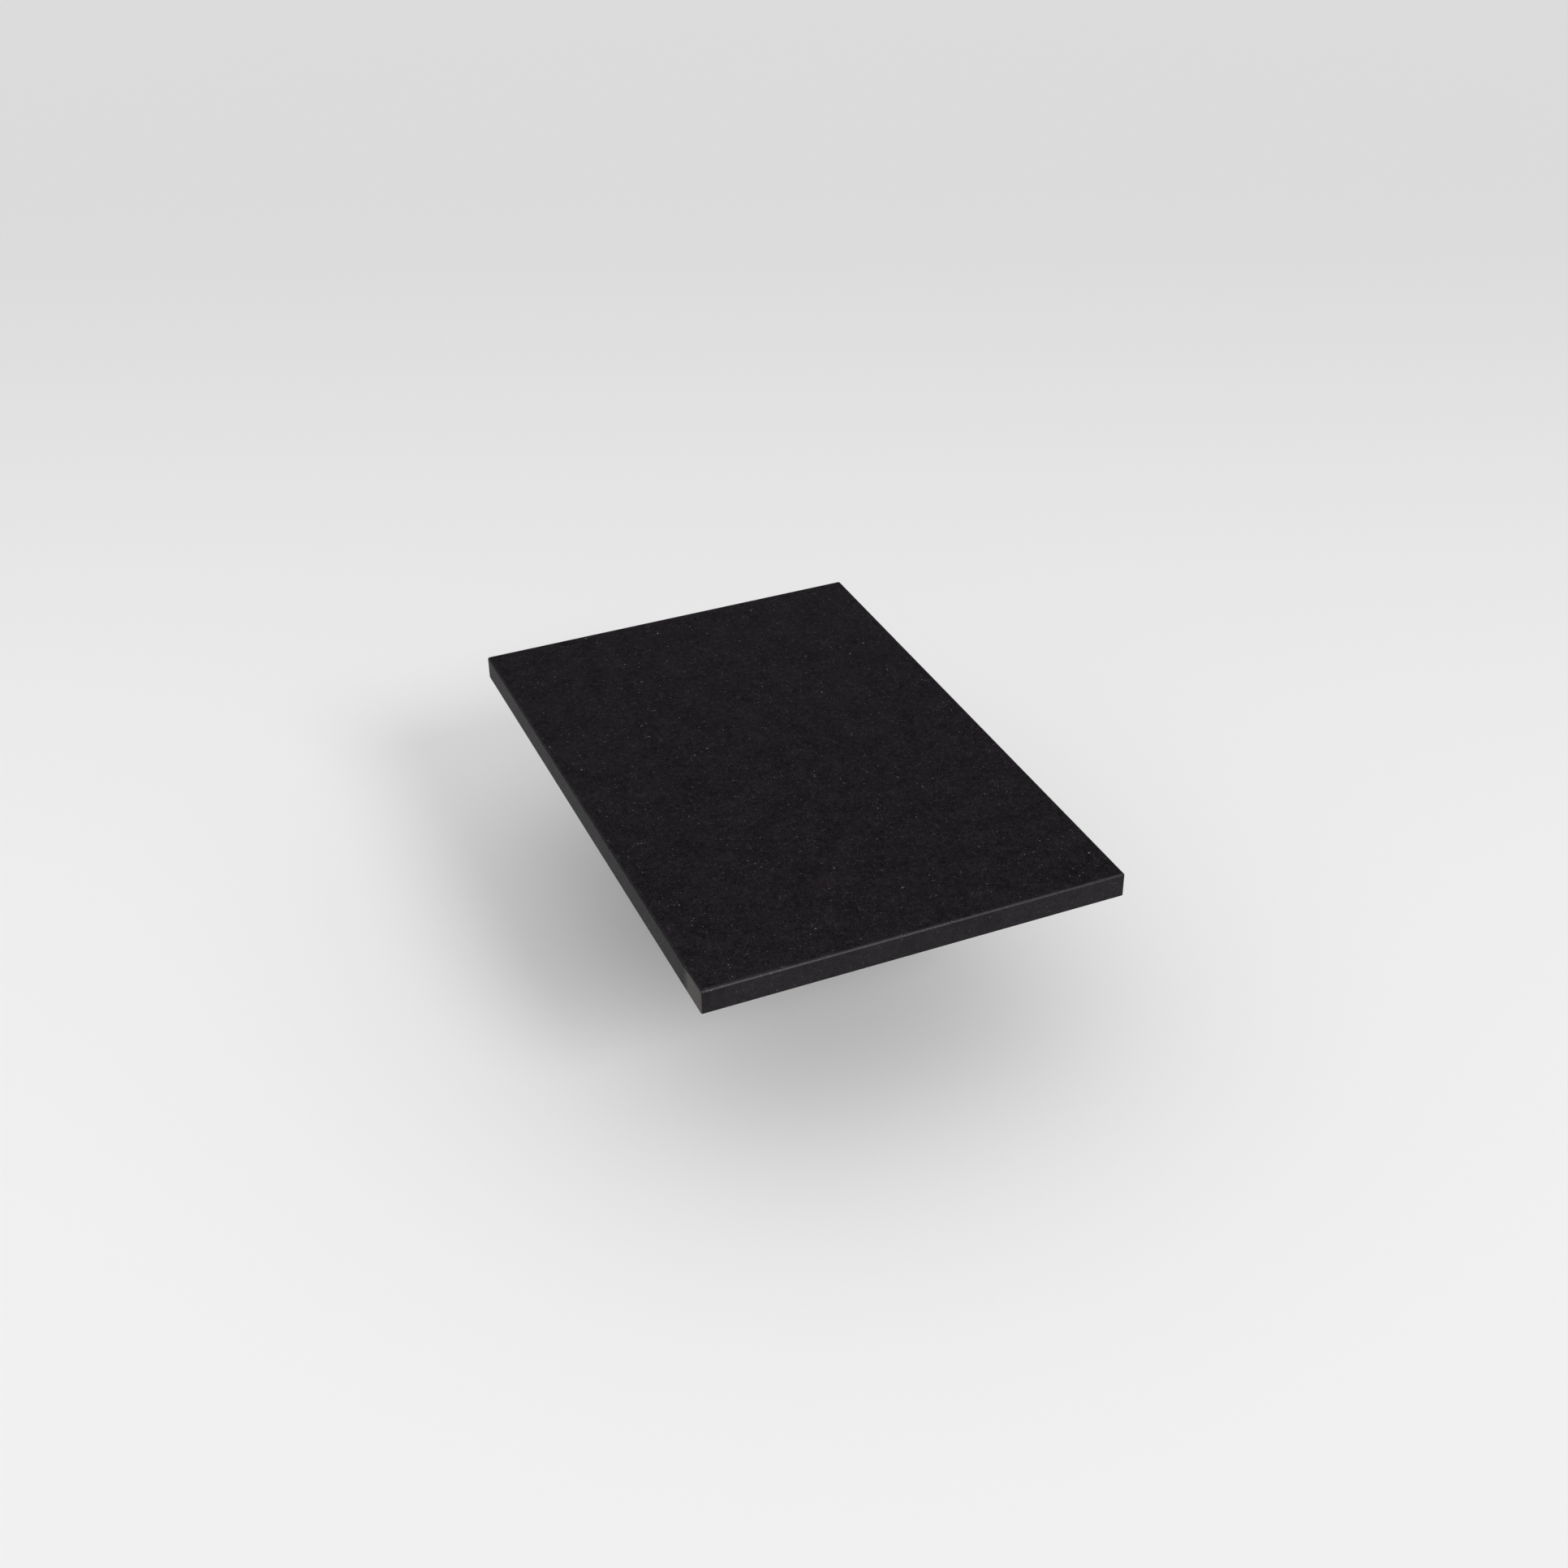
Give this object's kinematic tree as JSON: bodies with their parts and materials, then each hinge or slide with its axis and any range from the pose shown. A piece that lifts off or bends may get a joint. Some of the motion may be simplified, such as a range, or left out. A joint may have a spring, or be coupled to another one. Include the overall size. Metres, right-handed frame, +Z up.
{
  "type": "granite slab",
  "caption": "Flat rectangular slab of polished black granite with fine arrises, on rubber bumper feet: a hard, level base for stamping, tooling and skiving leather.",
  "frame": {"origin": "middle of the footprint, on the surface that the feet stand on", "axes": "+X along the short side, +Y along the long side away from the user, +Z up out of the polished top"},
  "size_m": [0.2, 0.3, 0.0154],
  "materials": {
    "granite": "polished",
    "foot_rubber": "matte",
    "adhesive": "satin"
  },
  "bodies": {
    "root": {"granite_slab": "granite", "foot_front_left": "foot_rubber", "foot_front_right": "foot_rubber", "foot_back_left": "foot_rubber", "foot_back_right": "foot_rubber", "adhesive_front_left": "adhesive", "adhesive_front_right": "adhesive", "adhesive_back_left": "adhesive", "adhesive_back_right": "adhesive"}
  },
  "joints": []
}
